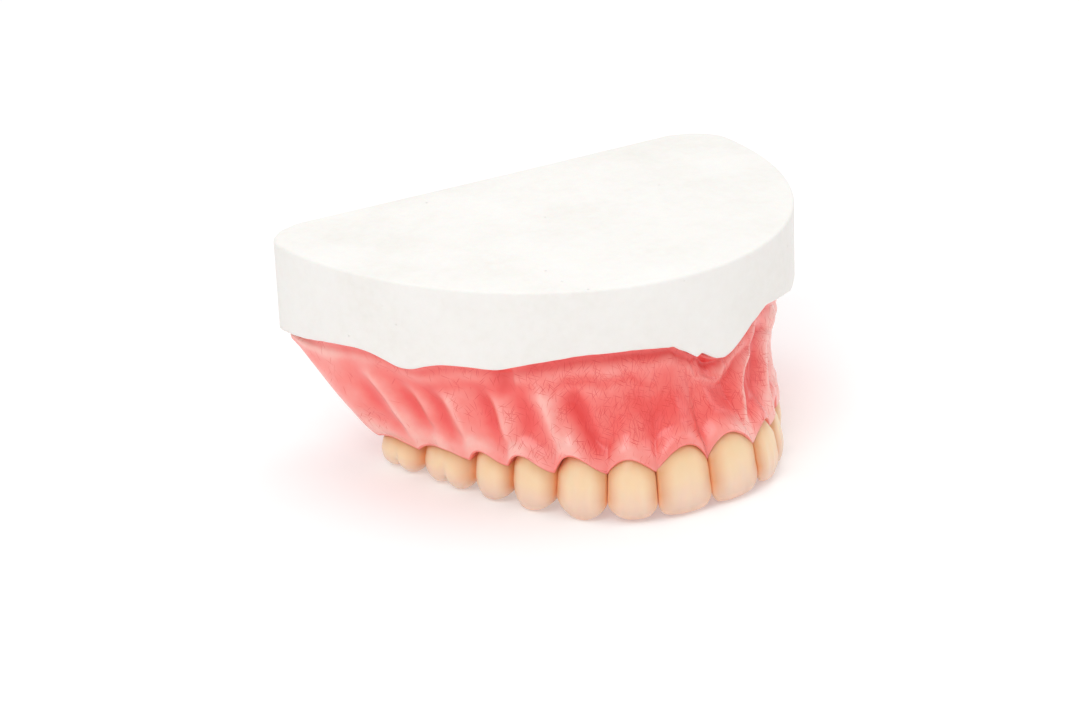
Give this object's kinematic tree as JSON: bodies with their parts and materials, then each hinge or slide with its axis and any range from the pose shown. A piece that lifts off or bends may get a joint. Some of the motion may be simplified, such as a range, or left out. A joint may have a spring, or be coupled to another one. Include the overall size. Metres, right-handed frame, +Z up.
{
  "type": "denture on plaster cast",
  "caption": "Complete upper denture with acrylic teeth set in a pink base, seated on the white plaster cast it was made on, which lifts off.",
  "frame": {"origin": "centre of the bounding box in X and Y, at the level of the tooth tips the denture stands on", "axes": "+Z up out of the cast's flat base, -Y towards the front teeth, -X towards the wearer's right"},
  "size_m": [0.0786, 0.0577, 0.0335],
  "materials": {
    "plaster": "matte",
    "pink_acrylic": "gloss",
    "tooth_acrylic": "gloss"
  },
  "bodies": {
    "denture": {"denture_base": "pink_acrylic", "right_central_incisor": "tooth_acrylic", "right_lateral_incisor": "tooth_acrylic", "right_canine": "tooth_acrylic", "right_first_premolar": "tooth_acrylic", "right_second_premolar": "tooth_acrylic", "right_first_molar": "tooth_acrylic", "right_second_molar": "tooth_acrylic", "left_central_incisor": "tooth_acrylic", "left_lateral_incisor": "tooth_acrylic", "left_canine": "tooth_acrylic", "left_first_premolar": "tooth_acrylic", "left_second_premolar": "tooth_acrylic", "left_first_molar": "tooth_acrylic", "left_second_molar": "tooth_acrylic"},
    "cast": {"plaster_cast": "plaster"}
  },
  "joints": [
    {"name": "cast_lift", "type": "slide", "parent": "denture", "child": "cast", "axis": [0, 0, 1], "range_m": [0, 0.03]}
  ]
}
